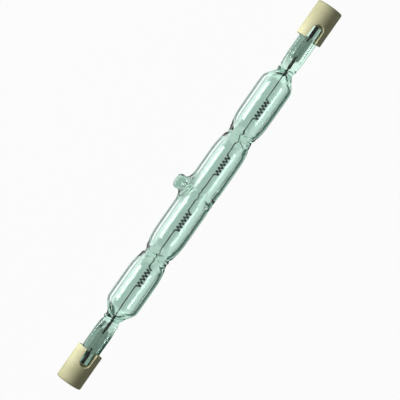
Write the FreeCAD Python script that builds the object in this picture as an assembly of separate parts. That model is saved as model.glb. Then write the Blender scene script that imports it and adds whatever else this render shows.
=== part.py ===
"""Double-ended linear halogen bulb: a pinched quartz burner with a four-coil filament and a ceramic cap at each end.

Millimetres. The origin is on the lamp axis, half way between the caps. +X runs along the lamp and +Z is up, with
the bulb lying as it comes to rest: on its tube, rolled until the exhaust tip touches the same surface.
"""
import FreeCAD
import Part
import math
import os

# Whole lamp
OVERALL_LENGTH = 117.6

# Ceramic caps
CAP_DIAMETER = 7.2
CAP_LENGTH = 10.0
CAP_RIM_BEVEL = 0.35
RECESS_DIAMETER = 4.0
RECESS_DEPTH = 1.7
WINDOW_WIDTH = 3.2
WINDOW_DEPTH = 4.5
SEAL_IN_CAP = 3.8
CEMENT_BED = 0.8
CEMENT_JOINT = 0.15

# Contact buttons, sunk in the floor of the recess
BUTTON_DIAMETER = 3.4
BUTTON_THICKNESS = 0.6
STEM_DIAMETER = 1.2
STEM_LENGTH = 1.6
STEM_CLEARANCE = 0.05

# Quartz tube and its chambers
TUBE_DIAMETER = 9.0
TUBE_WALL = 1.0
EXPOSED_SEAL = 11.4
SHOULDER_LENGTH = 2.35
SHOULDER_SLOPE = 38.0
SHOULDER_EDGE = 0.9
CAVITY_PAST_NECK = 0.3
CAVITY_SLOPE = 46.0
CAVITY_TIP_DIAMETER = 1.4
ROUND_STEPS = 3

# Pinches that hold the filament
PINCH_SPACING = 37.5
PINCH_SHIFT = -0.57
PINCH_HALF_LENGTH = 3.8
PINCH_NOSE = 1.2
PINCH_WIDTH = 7.2
PINCH_THICKNESS = 4.2
THROAT_WIDTH = 4.4
THROAT_CLEARANCE = 0.2
JAW_OVERLAP = 0.2

# Press seals
NECK_WIDTH = 4.0
SEAL_WIDTH = 5.0
SEAL_THICKNESS = 2.7
SEAL_TAPER = 6.0
SEAL_BEVEL = 0.35
RIM_WIDTH = 0.9
WEB_THICKNESS = 1.7
WEB_FROM_NECK = 4.4

# Exhaust tip, off the seals' plane by TIP_TURN degrees
TIP_DIAMETER = 4.1
TIP_HEIGHT = 3.1
TIP_ROUND = 1.4
TIP_FLARE_RISE = 0.8
TIP_FLARE_REACH = 1.7
TIP_TURN = 13.0
TIP_BORE_DIAMETER = 1.1
TIP_BORE_HEIGHT = 1.5

# Molybdenum foils and lead wires
FOIL_WIDTH = 2.0
FOIL_THICKNESS = 0.05
FOIL_FROM_NECK = 4.9
FOIL_FROM_SEAL_END = 3.3
INNER_LEAD_DIAMETER = 0.8
OUTER_LEAD_DIAMETER = 0.7
WELD_LENGTH = 1.2
LEAD_IN_CAVITY = 0.2

# Tungsten filament
COIL_COUNT = 4
COIL_SPACING = 17.5
FILAMENT_SHIFT = 0.77
COIL_LENGTH = 6.8
COIL_TURNS = 6
COIL_STEPS = 8
COIL_RADIUS = 0.48
COIL_RUN_IN = 0.45
COIL_LEAD = 0.4
COIL_WIRE = 0.4
LEG_WIRE = 0.28
LEG_IN_COIL = 0.1

# Places along +X that several pieces share
CAP_END = OVERALL_LENGTH / 2
CAP_MOUTH = CAP_END - CAP_LENGTH
CONTACT_FACE = CAP_END - RECESS_DEPTH
SEAL_END = CAP_MOUTH + SEAL_IN_CAP
SOCKET_FLOOR = SEAL_END + CEMENT_BED
STEM_END = CONTACT_FACE - BUTTON_THICKNESS - STEM_LENGTH
NECK = CAP_MOUTH - EXPOSED_SEAL
SHOULDER = NECK - SHOULDER_LENGTH
CAVITY_END = NECK + CAVITY_PAST_NECK
LEG_END = CAVITY_END - LEAD_IN_CAVITY
FOIL_START = NECK + FOIL_FROM_NECK
FOIL_STOP = SEAL_END - FOIL_FROM_SEAL_END
PINCHES = [PINCH_SHIFT - PINCH_SPACING / 2, PINCH_SHIFT + PINCH_SPACING / 2]
COILS = [(k - (COIL_COUNT - 1) / 2) * COIL_SPACING + FILAMENT_SHIFT for k in range(COIL_COUNT)]

TUBE_RADIUS = TUBE_DIAMETER / 2
BORE_RADIUS = TUBE_RADIUS - TUBE_WALL
CAVITY_TIP_RADIUS = CAVITY_TIP_DIAMETER / 2
CAVITY_SHOULDER = CAVITY_END - (BORE_RADIUS - CAVITY_TIP_RADIUS) / math.tan(math.radians(CAVITY_SLOPE))
TIP_END = TUBE_RADIUS + TIP_HEIGHT
THROAT_THICKNESS = LEG_WIRE + 2 * THROAT_CLEARANCE

VECTOR = FreeCAD.Vector
ORIGIN = VECTOR(0, 0, 0)
ALONG = VECTOR(1, 0, 0)
UP = VECTOR(0, 0, 1)
TIP_DIRECTION = VECTOR(0, math.cos(math.radians(TIP_TURN)), -math.sin(math.radians(TIP_TURN)))


def rounded_end(radius, end, edge):
    """Corners (along, out) of a rod's outline at its far end, whose edge is rounded off in ROUND_STEPS bevels."""
    angles = [math.pi / 2 * k / ROUND_STEPS for k in range(ROUND_STEPS + 1)]
    return [(end - edge + edge * math.sin(a), radius - edge + edge * math.cos(a)) for a in angles]


def rest_angle():
    """Degrees by which the tip points below the horizon when it and the tube lie on one surface.

    A corner of the tip's outline touches when its depth below the lamp axis equals the tube's radius, and the corner
    that does so at the smallest angle is the one that the bulb rests on.
    """
    corners = rounded_end(TIP_DIAMETER / 2, TIP_END, TIP_ROUND)
    angles = [math.asin(TUBE_RADIUS / math.hypot(along, out)) - math.atan2(out, along) for along, out in corners]
    return math.degrees(min(angles))


def rod(diameter, start, stop):
    """A round rod on the lamp axis from start to stop."""
    return Part.makeCylinder(diameter / 2, stop - start, VECTOR(start, 0, 0), ALONG)


def block(start, stop, width, thickness):
    """A box on the lamp axis, width across the seals' plane and thickness through it."""
    return Part.makeBox(stop - start, width, thickness, VECTOR(start, -width / 2, -thickness / 2))


def hexagon(centre, side, other, diameter):
    """A six-sided wire section round centre, with its first corner towards side."""
    angles = [math.pi / 3 * corner for corner in range(6)]
    corners = [centre + (side * math.cos(a) + other * math.sin(a)) * (diameter / 2) for a in angles]
    return Part.makePolygon(corners + corners[:1])


def seal_section(x, width):
    """The outline of a press seal across the lamp at x: a rectangle with bevelled corners."""
    y = width / 2
    z = SEAL_THICKNESS / 2
    quarter = [(y, z - SEAL_BEVEL), (y - SEAL_BEVEL, z)]
    half = quarter + [(-b, c) for b, c in reversed(quarter)]
    corners = half + [(-b, -c) for b, c in half]
    return Part.makePolygon([VECTOR(x, b, c) for b, c in corners + corners[:1]])


def fused(pieces):
    return pieces[0].multiFuse(pieces[1:]).removeSplitter()


def both_ends(piece):
    """The piece at the +X end, and the same piece turned round to the -X end."""
    return {"right": piece, "left": piece.copy().rotate(ORIGIN, UP, 180)}


def turned(outline, axis):
    """A solid turned round the axis from corners (along, out), with the axis itself as its inner side."""
    square = ALONG if axis.cross(ALONG).Length > 0.5 else UP
    corners = [axis * along + square * out for along, out in outline]
    corners = [axis * outline[0][0]] + corners + [axis * outline[-1][0]]
    return Part.Face(Part.makePolygon(corners + corners[:1])).revolve(ORIGIN, axis, 360)


def coned_end(radius, start, slope_angle, end_radius):
    """The +X end of a rod of this radius: a bevelled edge at start, then a cone down to end_radius."""
    slope = math.tan(math.radians(slope_angle))
    half_slope = math.tan(math.radians(slope_angle / 2))
    return turned([
        (start - SHOULDER_EDGE, radius),
        (start, radius - SHOULDER_EDGE * half_slope),
        (start + SHOULDER_EDGE, radius - SHOULDER_EDGE * slope),
        (start + (radius - end_radius) / slope, end_radius),
    ], ALONG)


def shoulder():
    """The +X end of the tube outside, down to the thickness of the seal."""
    return coned_end(TUBE_RADIUS, SHOULDER, SHOULDER_SLOPE, SEAL_THICKNESS / 2)


def cavity_end():
    """The +X end of the cavity, down to the blunt point where the lead comes in."""
    return coned_end(BORE_RADIUS, CAVITY_SHOULDER, CAVITY_SLOPE, CAVITY_TIP_RADIUS)


def jaw_slope(depth):
    """Slope, in radians, of flanks that touch the jaw's round nose and end at the edge of a pinch this deep."""
    rise = PINCH_NOSE - depth
    return math.asin(PINCH_NOSE / math.hypot(PINCH_HALF_LENGTH, rise)) - math.atan2(rise, PINCH_HALF_LENGTH)


def jaw(radius, half_size, middle, outward, across):
    """A wedge with a round nose that presses a tube of this radius in to half_size from the axis."""
    slope = jaw_slope(radius - half_size)
    nose_x = PINCH_NOSE * math.sin(slope)
    nose_out = half_size + PINCH_NOSE * (1 - math.cos(slope))
    edge_x = PINCH_HALF_LENGTH + JAW_OVERLAP / math.tan(slope)
    edge_out = radius + JAW_OVERLAP

    def place(x, out):
        return VECTOR(middle + x, 0, 0) + outward * out - across * (2 * radius)

    nose = Part.Arc(place(-nose_x, nose_out), place(0, half_size), place(nose_x, nose_out)).toShape()
    flanks = Part.makePolygon([
        place(nose_x, nose_out),
        place(edge_x, edge_out),
        place(edge_x, 2 * radius),
        place(-edge_x, 2 * radius),
        place(-edge_x, edge_out),
        place(-nose_x, nose_out),
    ])
    return Part.Face(Part.Wire([nose, *flanks.Edges])).extrude(across * (4 * radius))


def jaws(radius, width, thickness):
    """The four jaws round each pinch, which press a tube of this radius to width by thickness."""
    wide = VECTOR(0, 1, 0)
    bars = []
    for middle in PINCHES:
        for side in (1, -1):
            bars.append(jaw(radius, thickness / 2, middle, UP * side, wide))
            bars.append(jaw(radius, width / 2, middle, wide * side, UP))
    return bars


def exhaust_tip(tube):
    """The tube with its melted-off exhaust stub, flared where the two were fused."""
    stub = turned([(0, TIP_DIAMETER / 2)] + rounded_end(TIP_DIAMETER / 2, TIP_END, TIP_ROUND), TIP_DIRECTION)
    whole = tube.fuse(stub)
    joint = [e for e in whole.Edges if on_tube(e) and on_stub(e)]
    return whole.makeChamfer(TIP_FLARE_REACH, TIP_FLARE_RISE, joint)


def on_tube(edge):
    return all(abs(math.hypot(v.y, v.z) - TUBE_RADIUS) < 1e-4 for v in edge.discretize(9))


def on_stub(edge):
    return all(abs(v.cross(TIP_DIRECTION).Length - TIP_DIAMETER / 2) < 1e-4 for v in edge.discretize(9))


def seal_blank():
    """The pressed block of the +X seal: tapered from the neck, then parallel, with a thin web between two rims."""
    taper_end = NECK + SEAL_TAPER
    taper = Part.makeLoft([seal_section(NECK, NECK_WIDTH), seal_section(taper_end, SEAL_WIDTH)], True, True)
    blank = taper.fuse(seal_bar(taper_end))
    for side in (1, -1):
        blank = blank.cut(web_pocket(side))
    return blank.removeSplitter()


def web_pocket(side):
    """The shallow hollow that the press leaves in one broad face, round at the burner's end."""
    width = SEAL_WIDTH - 2 * RIM_WIDTH
    depth = SEAL_THICKNESS - WEB_THICKNESS
    start = NECK + WEB_FROM_NECK + width / 2
    run = Part.makeBox(SEAL_END - start + 1, width, depth, VECTOR(start, -width / 2, 0))
    nose = Part.makeCylinder(width / 2, depth, VECTOR(start, 0, 0), UP)
    pocket = run.fuse(nose)
    pocket.translate(VECTOR(0, 0, WEB_THICKNESS / 2 if side > 0 else -WEB_THICKNESS / 2 - depth))
    return pocket


def seal_bar(start):
    """The parallel part of the +X seal from start to its end, before the press hollows it."""
    return Part.Face(seal_section(start, SEAL_WIDTH)).extrude(ALONG * (SEAL_END - start))


def quartz_envelope(sealed_in):
    """The whole quartz vessel, with room for the wires and foils that are sealed into it."""
    straight = SHOULDER - SHOULDER_EDGE
    tube = exhaust_tip(rod(TUBE_DIAMETER, -straight, straight)).cut(jaws(TUBE_RADIUS, PINCH_WIDTH, PINCH_THICKNESS))
    outside = [tube, *both_ends(shoulder()).values(), *both_ends(seal_blank()).values()]
    bore_end = CAVITY_SHOULDER - SHOULDER_EDGE
    bore = fused([rod(2 * BORE_RADIUS, -bore_end, bore_end), *both_ends(cavity_end()).values()])
    bore = bore.cut(jaws(BORE_RADIUS, THROAT_WIDTH, THROAT_THICKNESS))
    tip_bore = Part.makeCylinder(TIP_BORE_DIAMETER / 2, TUBE_RADIUS + TIP_BORE_HEIGHT, ORIGIN, TIP_DIRECTION)
    return fused(outside).cut([bore.fuse(tip_bore)] + sealed_in)


def half_rod(diameter, start, stop):
    """The flattened end of a lead, lying on the foil's upper face."""
    return rod(diameter, start, stop).cut(Part.makeBox(
        stop - start, diameter, diameter, VECTOR(start, -diameter / 2, -diameter)
    ))


def foil():
    """Molybdenum strip sealed in the web, with its upper face on the lamp axis."""
    strip = block(FOIL_START, FOIL_STOP, FOIL_WIDTH, FOIL_THICKNESS)
    strip.translate(VECTOR(0, 0, -FOIL_THICKNESS / 2))
    return strip


def inner_lead():
    """Wire from the filament's leg to the foil."""
    wire = rod(INNER_LEAD_DIAMETER, LEG_END, FOIL_START)
    return wire.fuse(half_rod(INNER_LEAD_DIAMETER, FOIL_START, FOIL_START + WELD_LENGTH)).removeSplitter()


def outer_lead():
    """Wire from the foil, out of the seal and through the cap to the stem of the contact button."""
    wire = rod(OUTER_LEAD_DIAMETER, FOIL_STOP, STEM_END)
    return wire.fuse(half_rod(OUTER_LEAD_DIAMETER, FOIL_STOP - WELD_LENGTH, FOIL_STOP)).removeSplitter()


def socket():
    """The pocket in the cap that takes the seal and its cement."""
    width = SEAL_WIDTH + 2 * CEMENT_JOINT
    thickness = SEAL_THICKNESS + 2 * CEMENT_JOINT
    return block(CAP_MOUTH, SOCKET_FLOOR, width, thickness)


def window():
    """The U-shaped slot through both broad sides of the cap's mouth."""
    centre = CAP_MOUTH + WINDOW_DEPTH - WINDOW_WIDTH / 2
    run = block(CAP_MOUTH, centre, WINDOW_WIDTH, CAP_DIAMETER)
    end = Part.makeCylinder(WINDOW_WIDTH / 2, CAP_DIAMETER, VECTOR(centre, 0, -CAP_DIAMETER / 2), UP)
    return run.fuse(end).removeSplitter()


def ceramic_cap():
    body = rod(CAP_DIAMETER, CAP_MOUTH, CAP_END)
    rims = [e for e in body.Edges if e.Closed and e.CenterOfMass.x > CAP_END - 1e-6]
    body = body.makeChamfer(CAP_RIM_BEVEL, rims)
    button_seat = CONTACT_FACE - BUTTON_THICKNESS
    return body.cut([
        rod(RECESS_DIAMETER, CONTACT_FACE, CAP_END),
        rod(BUTTON_DIAMETER, button_seat, CONTACT_FACE),
        rod(STEM_DIAMETER + 2 * STEM_CLEARANCE, SOCKET_FLOOR, button_seat),
        socket(),
        window(),
    ])


def cement():
    """Refractory cement between the seal and the cap's socket, open at the windows."""
    bed = socket().cut([seal_bar(CAP_MOUTH), outer_lead()])
    above_seal = block(CAP_MOUTH, SEAL_END, WINDOW_WIDTH, CAP_DIAMETER)
    return bed.cut(above_seal).removeSplitter()


def contact_button():
    head = rod(BUTTON_DIAMETER, CONTACT_FACE - BUTTON_THICKNESS, CONTACT_FACE)
    return head.fuse(rod(STEM_DIAMETER, STEM_END, CONTACT_FACE - BUTTON_THICKNESS)).removeSplitter()


def coil_point(middle, turns):
    """Where the coil's wire is after so many turns: on a circle that touches the lamp axis, opening from it and back."""
    run_in = min(turns, COIL_TURNS - turns, COIL_RUN_IN) / COIL_RUN_IN
    radius = COIL_RADIUS * run_in * run_in * (3 - 2 * run_in)
    angle = 2 * math.pi * turns
    away = -TIP_DIRECTION
    across = ALONG.cross(away)
    swing = away * (radius * (1 - math.cos(angle))) + across * (radius * math.sin(angle))
    core = COIL_LENGTH - 2 * COIL_LEAD
    stretch = math.copysign(COIL_LEAD * (1 - run_in) ** 2, turns - COIL_TURNS / 2)
    return VECTOR(middle + core * (turns / COIL_TURNS - 0.5) + stretch, 0, 0) + swing


def coil(middle):
    """One coil: a six-sided wire section carried along the turns without twist."""
    steps = round(COIL_TURNS * COIL_STEPS)
    points = [coil_point(middle, COIL_TURNS * k / steps) for k in range(steps + 1)]
    side = UP
    wires = []
    for k, point in enumerate(points):
        heading = points[min(k + 1, steps)] - points[max(k - 1, 0)] if 0 < k < steps else VECTOR(ALONG)
        heading.normalize()
        side = (side - heading * side.dot(heading)).normalize()
        other = heading.cross(side)
        wires.append(hexagon(point, side, other, COIL_WIRE))
    return Part.makeLoft(wires, True, True)


def leg(start, stop):
    """A straight stretch of the filament's wire, on the lamp axis."""
    section = Part.Face(hexagon(VECTOR(start, 0, 0), UP, ALONG.cross(UP), LEG_WIRE))
    return section.extrude(ALONG * (stop - start))


def filament():
    """One tungsten wire from lead to lead: straight legs on the lamp axis, with the coils between them."""
    reach = COIL_LENGTH / 2 - LEG_IN_COIL
    stops = [-LEG_END]
    for middle in COILS:
        stops += [middle - reach, middle + reach]
    stops.append(LEG_END)
    legs = [leg(a, b) for a, b in zip(stops[0::2], stops[1::2])]
    return fused([coil(x) for x in COILS] + legs)


def build():
    nodes = {"filament": filament()}
    pairs = {
        "foil": foil(),
        "inner_lead": inner_lead(),
        "outer_lead": outer_lead(),
        "ceramic_cap": ceramic_cap(),
        "cement": cement(),
        "contact_button": contact_button(),
    }
    for name, piece in pairs.items():
        for end, shape in both_ends(piece).items():
            nodes[f"{name}_{end}"] = shape
    sealed_in = [nodes[f"{name}_{end}"] for name in ("foil", "inner_lead", "outer_lead") for end in ("left", "right")]
    nodes["quartz_envelope"] = quartz_envelope(sealed_in)
    os.makedirs("parts", exist_ok=True)
    turn = TIP_TURN - rest_angle()
    for name, shape in nodes.items():
        shape.rotate(ORIGIN, ALONG, turn)
        shape.exportStep(f"parts/{name}.step")
        print(name, "valid", shape.isValid(), "solids", len(shape.Solids), "volume", round(shape.Volume, 3))
    print("rest angle", round(rest_angle(), 2), "foil length", round(FOIL_STOP - FOIL_START, 2))


build()
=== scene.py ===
# %% [markdown]
# # A linear halogen bulb
# The bulb is a quartz tube a little longer than a finger, with a coiled tungsten wire down its middle and
# a ceramic cap on each end. The solids come from the frame with their real size. This file dresses them:
# clear quartz with soft pinches, a filament that is a coil wound from a coil, and chalky ceramic.

import math

import bpy
import numpy as np
from mathutils import Matrix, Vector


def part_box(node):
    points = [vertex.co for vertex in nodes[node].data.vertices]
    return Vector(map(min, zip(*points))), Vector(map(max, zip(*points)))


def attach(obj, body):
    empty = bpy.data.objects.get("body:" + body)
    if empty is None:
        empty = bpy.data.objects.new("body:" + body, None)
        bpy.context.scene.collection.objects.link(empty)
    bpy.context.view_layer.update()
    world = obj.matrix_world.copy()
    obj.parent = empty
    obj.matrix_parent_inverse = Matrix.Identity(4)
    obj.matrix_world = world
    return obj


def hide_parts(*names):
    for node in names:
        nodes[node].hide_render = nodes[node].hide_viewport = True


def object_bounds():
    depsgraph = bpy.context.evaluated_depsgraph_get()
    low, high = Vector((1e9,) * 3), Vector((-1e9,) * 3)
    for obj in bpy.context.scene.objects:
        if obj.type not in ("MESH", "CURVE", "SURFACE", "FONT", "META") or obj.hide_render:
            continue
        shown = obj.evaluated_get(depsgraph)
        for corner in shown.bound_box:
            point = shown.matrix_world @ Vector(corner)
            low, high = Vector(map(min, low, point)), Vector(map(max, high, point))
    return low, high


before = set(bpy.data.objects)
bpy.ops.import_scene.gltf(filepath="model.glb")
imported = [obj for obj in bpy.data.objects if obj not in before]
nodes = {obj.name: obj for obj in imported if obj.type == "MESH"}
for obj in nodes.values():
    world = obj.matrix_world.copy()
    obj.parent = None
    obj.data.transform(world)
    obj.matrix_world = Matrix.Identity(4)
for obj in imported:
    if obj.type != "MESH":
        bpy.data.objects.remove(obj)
cad_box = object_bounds()
print("frame", sorted(nodes))

# %% [markdown]
# ## Sizes and directions
# All sizes are in millimetres and are turned to metres when a mesh is made. The ends of the caps and of
# the seals come from the frame. The bulb lies on its tube with the exhaust tip touching the floor, so
# three directions matter: the tip, the side that the photograph is taken from, and the broad side of the
# flat seals, which is a little turned.

# %% Sizes
MM = 0.001
TUBE_RADIUS = 4.5
BORE_RADIUS = 3.5
TIP_RADIUS = 2.05
TIP_HEIGHT = 3.1
TIP_ROUND = 1.4
TIP_TURN = math.radians(13)
SEAL_SHOWN = 11.4
CAVITY_PAST_NECK = 0.3
cap_low, cap_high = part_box("ceramic_cap_right")
CAP_MOUTH = cap_low.x / MM
CAP_END = cap_high.x / MM
SEAL_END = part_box("quartz_envelope")[1].x / MM
NECK = CAP_MOUTH - SEAL_SHOWN
CAVITY_END = NECK + CAVITY_PAST_NECK
print("cap from", round(CAP_MOUTH, 2), "to", round(CAP_END, 2), "seal to", round(SEAL_END, 2))

# %% How far the tip drops
# The bulb rolls on its tube until the tip's rounded edge meets the floor. A point of that edge at a
# distance d from the lamp's axis meets it when it lies arcsin(TUBE_RADIUS / d) below the horizon. The
# point for which the tip has turned least is the one that touches.
EDGE_TURN = np.radians([0, 30, 60, 90])
edge_out = TUBE_RADIUS + TIP_HEIGHT - TIP_ROUND + TIP_ROUND * np.sin(EDGE_TURN)
edge_side = TIP_RADIUS - TIP_ROUND + TIP_ROUND * np.cos(EDGE_TURN)
drops = np.arcsin(TUBE_RADIUS / np.hypot(edge_out, edge_side)) - np.arctan2(edge_side, edge_out)
tip_drop = float(drops.min())
print("the tip points", round(math.degrees(tip_drop), 2), "degrees below the horizon")

# %% Directions
lamp_axis = np.array([1.0, 0.0, 0.0])
tip_way = np.array([0.0, math.cos(tip_drop), -math.sin(tip_drop)])
camera_way = np.cross(lamp_axis, tip_way)
seal_wide = math.cos(TIP_TURN) * tip_way + math.sin(TIP_TURN) * camera_way
seal_broad = np.cross(lamp_axis, seal_wide)
SEAL_BASIS = np.stack([lamp_axis, seal_wide, seal_broad])
ENDS = {"right": np.array([1.0, 1.0, 1.0]), "left": np.array([-1.0, -1.0, 1.0])}
print("the seals' broad side faces", seal_broad.round(3))

# %% [markdown]
# ## Meshes from grids
# Each new piece is a grid of points worked out as one array: rows along the piece and columns round it.
# The columns close into a ring. The rows either close too, as on a cap with a hole through it, or each
# end is closed by a single point in the middle of its last ring. A piece that stands at both ends is
# worked out once, for the right end, and turned by half a turn about the broad direction for the left
# one.


# %% Rings of points
def full_turn(columns):
    """So many angles, evenly spread over one turn."""
    return np.linspace(0, 2 * np.pi, columns, endpoint=False)


def rings_at(x, wide, broad):
    """A grid of points (along, wide, broad) from rings that stand at the places x."""
    return np.stack([np.broadcast_to(x, wide.shape), wide, broad], axis=-1)


print("four columns stand at", full_turn(4).round(2))


# %% Grid to faces
def ring_faces(rows, columns, closed=False):
    """Four-sided faces between neighbouring rings, whose columns wrap round: an array of corner numbers."""
    row, column = np.meshgrid(np.arange(rows if closed else rows - 1), np.arange(columns), indexing="ij")
    here = row * columns
    there = (row + 1) % rows * columns
    after = (column + 1) % columns
    corners = [here + column, here + after, there + after, there + column]
    return np.stack(corners, axis=-1).reshape(-1, 4)


def closed_tube(grid):
    """Points and faces of a ring grid whose two ends are closed by fans round their middle points."""
    rows, columns, _ = grid.shape
    points = np.concatenate([grid.reshape(-1, 3), grid[[0, -1]].mean(axis=1)])
    column = np.arange(columns)
    after = (column + 1) % columns
    last = (rows - 1) * columns
    start = np.stack([after, column, np.full(columns, rows * columns)], axis=-1)
    stop = np.stack([last + column, last + after, np.full(columns, rows * columns + 1)], axis=-1)
    return points, [ring_faces(rows, columns), start, stop]


def closed_loop(grid):
    """Points and faces of a ring grid whose last row joins its first."""
    rows, columns, _ = grid.shape
    return grid.reshape(-1, 3), [ring_faces(rows, columns, closed=True)]


print("three rings of four points make", sum(map(len, closed_tube(np.zeros((3, 4, 3)))[1])), "faces")

# %% Faces to a piece
SMOOTH = 180.0


def new_piece(name, parts, basis, node, crease=SMOOTH):
    """One smooth mesh object from (points in mm, arrays of faces) parts, standing for a CAD node."""
    firsts = np.cumsum([0] + [len(points) for points, _ in parts])
    faces = []
    for (_, own), first in zip(parts, firsts):
        for corners in own:
            faces += (corners + first).tolist()
    mesh = bpy.data.meshes.new(name)
    mesh.from_pydata((np.concatenate([points for points, _ in parts]) @ basis * MM).tolist(), [], faces)
    mesh.shade_smooth()
    mesh.set_sharp_from_angle(angle=math.radians(crease))
    piece = bpy.data.objects.new(name, mesh)
    bpy.context.scene.collection.objects.link(piece)
    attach(piece, "root")
    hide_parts(node)
    print(name, len(mesh.polygons), "faces")
    return piece


def at_both_ends(name, shape, node, crease=SMOOTH):
    """The piece of this shape for the right end, and the same one turned round for the left end."""
    points, faces = shape
    return [
        new_piece(f"{name}_{end}", [(points * side, faces)], SEAL_BASIS, f"{node}_{end}", crease)
        for end, side in ENDS.items()
    ]


print("ends", list(ENDS))

# %% [markdown]
# ## The quartz vessel
# The vessel starts as plain tube. It is softened and pressed flat at both ends, squeezed by round-nosed
# jaws at two places to hold the filament, and sealed off where the gas went in, which leaves the tip. It
# could be cut and joined from solids, but then every joint has a crease. Here one function of the place
# along the lamp gives the half width and half thickness of each cross-section, and soft versions of min
# and max melt the forms into each other as the flame does.


# %% Soft joins
def soft_min(a, b, melt):
    """The smaller of a and b, with the crease between them melted over about the length melt."""
    return -melt * np.logaddexp(-a / melt, -b / melt)


def soft_max(a, b, melt):
    """The larger of a and b, with the crease between them melted over about the length melt."""
    return melt * np.logaddexp(a / melt, b / melt)


def soft_step(value, low, high):
    """Nought below low, one above high, and a smooth S between them."""
    share = np.clip((value - low) / (high - low), 0, 1)
    return share * share * (3 - 2 * share)


def hump(distance, reach):
    """One in the middle, fading to nothing beyond about twice the reach: a bell curve."""
    return np.exp(-((distance / reach) ** 2))


print("a soft min of 1 and 1 over 0.3 is", round(float(soft_min(1.0, 1.0, 0.3)), 3))

# %% Pinches
PINCH_MIDDLE = -0.57
PINCH_SPACING = 37.5
PINCHES = (PINCH_MIDDLE - PINCH_SPACING / 2, PINCH_MIDDLE + PINCH_SPACING / 2)
PINCH_HALF_LENGTH = 3.8
PINCH_NOSE = 1.2
PINCH_MELT = 0.3


def pressed(x, radius, half_size):
    """Half size that wedge-shaped jaws leave at each place of a tube of this radius.

    Each jaw is an arc of the nose's radius and two straight flanks that touch it and meet the tube at the
    pinch's edge, so the flank's slope is the angle of a line from that edge to the nose.
    """
    rise = PINCH_NOSE - (radius - half_size)
    to_nose = math.hypot(PINCH_HALF_LENGTH, rise)
    slope = math.asin(PINCH_NOSE / to_nose) - math.atan2(rise, PINCH_HALF_LENGTH)
    nose_x = PINCH_NOSE * math.sin(slope)
    away = np.abs(x[:, None] - np.array(PINCHES)).min(axis=1)
    arc = PINCH_NOSE - np.sqrt(PINCH_NOSE**2 - np.minimum(away, nose_x) ** 2)
    return half_size + arc + np.maximum(away - nose_x, 0) * math.tan(slope)


print("pinches at", [round(x, 2) for x in PINCHES])

# %% Outside of the vessel
TUBE_SKIN = -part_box("quartz_envelope")[0].z / MM
SHOULDER = NECK - 2.35
SHOULDER_SLOPE = math.tan(math.radians(38))
SHOULDER_MELT = 0.35
NECK_HALF_WIDTH, SEAL_WIDENING, SEAL_WIDENS_OVER = 2.0, 0.5, 6
SEAL_HALF_THICKNESS = 1.35
WIDE_MELT, BROAD_MELT = 0.2, 0.25
PINCH_HALF_WIDTH, PINCH_HALF_THICKNESS = 3.5, 2.1
ELLIPSE, SQUARER = 2, 5
FLATTENS = (NECK - 0.6, NECK + 3.2)


def vessel_outside(x):
    """Half width, half thickness and squareness of the vessel: tube, shoulder's cone, flat seal."""
    reach = np.abs(x)
    slope = TUBE_RADIUS - (reach - SHOULDER) * SHOULDER_SLOPE
    cone = soft_min(np.full_like(x, TUBE_SKIN), slope, SHOULDER_MELT)
    seal = NECK_HALF_WIDTH + SEAL_WIDENING * soft_step(reach, NECK, NECK + SEAL_WIDENS_OVER)
    width = soft_max(cone, seal, WIDE_MELT)
    thickness = soft_max(cone, SEAL_HALF_THICKNESS, BROAD_MELT)
    width = soft_min(width, pressed(x, TUBE_RADIUS, PINCH_HALF_WIDTH), PINCH_MELT)
    thickness = soft_min(thickness, pressed(x, TUBE_RADIUS, PINCH_HALF_THICKNESS), PINCH_MELT)
    return width, thickness, ELLIPSE + SQUARER * soft_step(reach, *FLATTENS)


print("the shoulder starts at", round(SHOULDER, 2), "and the neck is at", round(NECK, 2))

# %% Inside of the vessel
CAVITY_SLOPE = math.radians(46)
CAVITY_END_HALF = 0.7
CAVITY_TIP = CAVITY_END + CAVITY_END_HALF / math.tan(CAVITY_SLOPE)
BALL_RADIUS = (CAVITY_TIP - CAVITY_END) / (1 / math.sin(CAVITY_SLOPE) - 1)
BALL_CENTRE = CAVITY_END - BALL_RADIUS
BALL_START = BALL_CENTRE + BALL_RADIUS * math.sin(CAVITY_SLOPE)
LEAST_SQUARE = 1e-6
BORE_MELT = 0.3
THROAT_HALF_WIDTH, THROAT_HALF_THICKNESS = 2.2, 0.34
SAG, SAG_REACH = 0.22, 1.7


def vessel_inside(x):
    """Half width, half thickness and squareness of the cavity.

    It is the bore, pressed nearly shut at the pinches, with a cone at each end whose point is rounded by
    the ball that touches the cone all round. Where the tip was fused on, the soft wall sagged a little.
    """
    reach = np.abs(x)
    cone = (CAVITY_TIP - np.minimum(reach, BALL_START)) * math.tan(CAVITY_SLOPE)
    ball = np.sqrt(np.maximum(BALL_RADIUS**2 - np.maximum(reach - BALL_CENTRE, 0) ** 2, LEAST_SQUARE))
    end = np.where(reach > BALL_START, ball, soft_min(np.full_like(x, BORE_RADIUS), cone, BORE_MELT))
    sag = SAG * hump(x, SAG_REACH)
    width = soft_min(end, pressed(x, BORE_RADIUS, THROAT_HALF_WIDTH), PINCH_MELT) - sag
    thickness = soft_min(end, pressed(x, BORE_RADIUS, THROAT_HALF_THICKNESS), PINCH_MELT) - sag
    return width, thickness, np.full_like(x, ELLIPSE)


print("the cavity's end is a ball of radius", round(BALL_RADIUS, 2))

# %% [markdown]
# ### Folds
# Hot glass that has been pressed isn't smooth: it keeps slow folds at the necks, the pinches and the root
# of the tip, and those folds break up what shows through. A bump in the finish would shade them, but
# wouldn't bend the view through the glass as a real fold does. So they are in the mesh, as a few sine
# waves that are crossed so that they never line up.


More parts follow.
